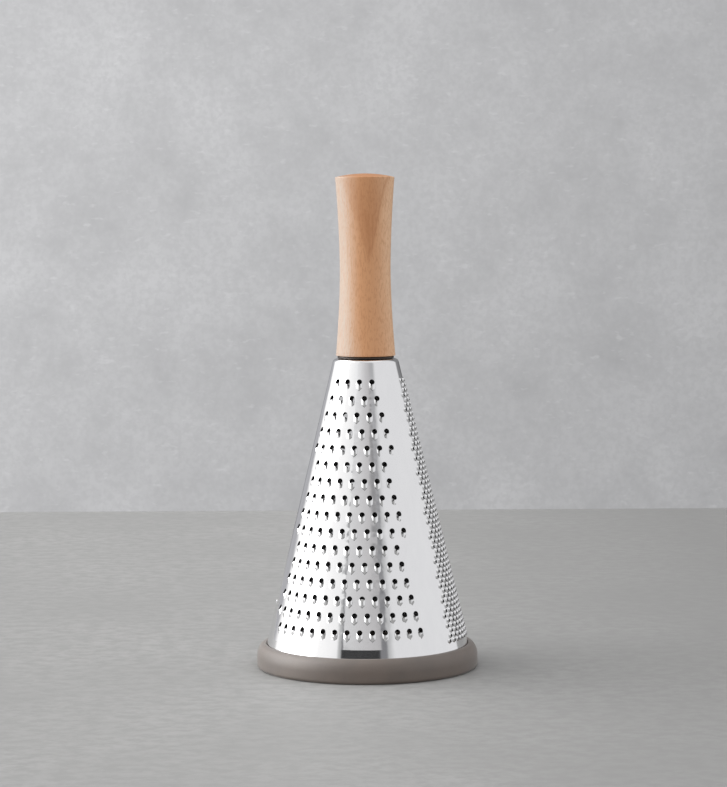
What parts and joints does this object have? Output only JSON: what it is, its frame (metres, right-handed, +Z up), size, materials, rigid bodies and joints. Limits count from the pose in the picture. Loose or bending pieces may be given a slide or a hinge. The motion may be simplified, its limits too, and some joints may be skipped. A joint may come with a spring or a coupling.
{
  "type": "conical grater",
  "caption": "Free-standing conical hand grater: a pierced polished-steel cone on a soft non-slip ring, held by a turned, waisted beech handle.",
  "frame": {"origin": "on the table, on the cone's axis, under the non-slip ring", "axes": "+Z up along the cone's axis; -Y is the front, the middle of the view in the picture; +X is to its right, where the fine teeth are"},
  "size_m": [0.115, 0.115, 0.2559],
  "materials": {
    "polished_steel": "mirror-polished stainless sheet",
    "ring_silicone": "matt taupe silicone",
    "plain_steel": "plain zinc-plated steel",
    "collar_nylon": "matt black-brown moulding",
    "insert_brass": "turned brass",
    "handle_beech": "oiled steamed beech"
  },
  "bodies": {
    "root": {"grater_cone": "polished_steel", "base_ring": "ring_silicone", "backing_plate": "plain_steel", "flat_washer": "plain_steel", "spring_washer": "plain_steel", "fixing_screw": "plain_steel", "handle_collar": "collar_nylon", "threaded_insert": "insert_brass", "handle": "handle_beech"}
  },
  "joints": []
}
